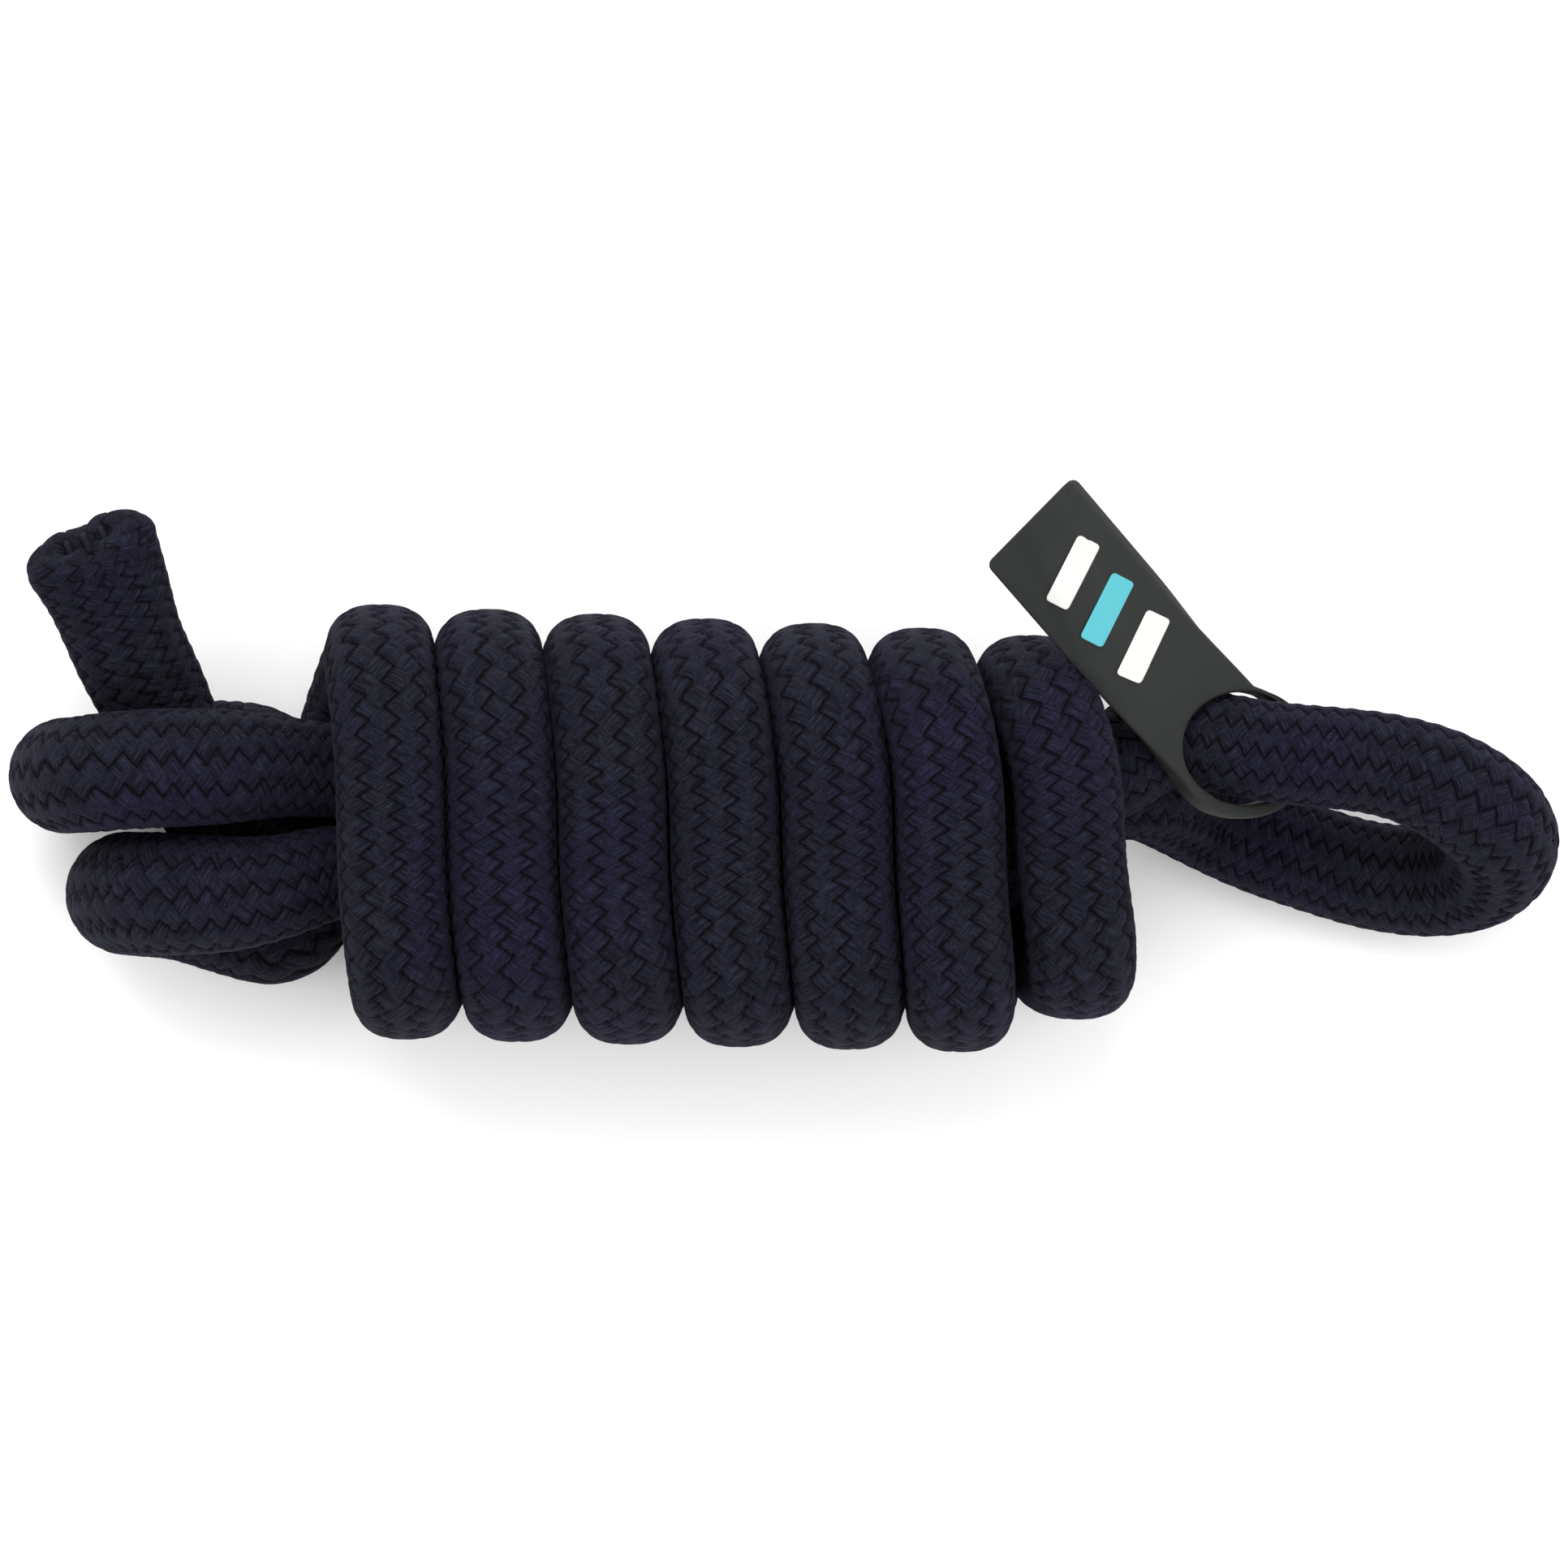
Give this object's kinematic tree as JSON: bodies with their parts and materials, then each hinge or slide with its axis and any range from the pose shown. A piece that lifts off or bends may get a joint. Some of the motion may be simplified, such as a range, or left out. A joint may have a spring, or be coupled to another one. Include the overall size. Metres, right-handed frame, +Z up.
{
  "type": "lead rope",
  "caption": "Braided rope for leading a horse, folded and bound with its own turns into a short hank, with a soft tag that slides on its end loop.",
  "frame": {"origin": "under the middle of the hank, on the surface that it lies on", "axes": "+X along the hank towards the end loop and the tag, +Z up"},
  "size_m": [0.2149, 0.079, 0.0598],
  "materials": {
    "braid": "matte braided yarn, dark navy",
    "core": "loose undyed filling yarn",
    "thread": "matte sewing thread, dark navy",
    "tag_soft_plastic": "soft charcoal plastic with a fine grain",
    "white_inlay": "soft white plastic, raised",
    "turquoise_inlay": "soft turquoise plastic, raised"
  },
  "bodies": {
    "rope": {"sleeve_free_end": "braid", "sleeve_lower_run": "braid", "sleeve_end_loop": "braid", "sleeve_upper_run": "braid", "sleeve_upper_fold": "braid", "sleeve_inner_fold": "braid", "sleeve_lower_fold": "braid", "sleeve_turn_1": "braid", "sleeve_turn_2": "braid", "sleeve_turn_3": "braid", "sleeve_turn_4": "braid", "sleeve_turn_5": "braid", "sleeve_turn_6": "braid", "sleeve_turn_7": "braid", "sleeve_tail": "braid", "core_runs": "core", "core_turns": "core", "free_end_tuck": "braid", "free_end_stitches": "thread", "tail_end_tuck": "braid", "tail_end_stitches": "thread"},
    "tag": {"tag_body": "tag_soft_plastic", "tag_white_inlays": "white_inlay", "tag_turquoise_inlay": "turquoise_inlay"}
  },
  "joints": [
    {"name": "tag_slide", "type": "slide", "parent": "rope", "child": "tag", "axis": [0.9923, -0.124, 0], "range_m": [0, 0.008]}
  ]
}
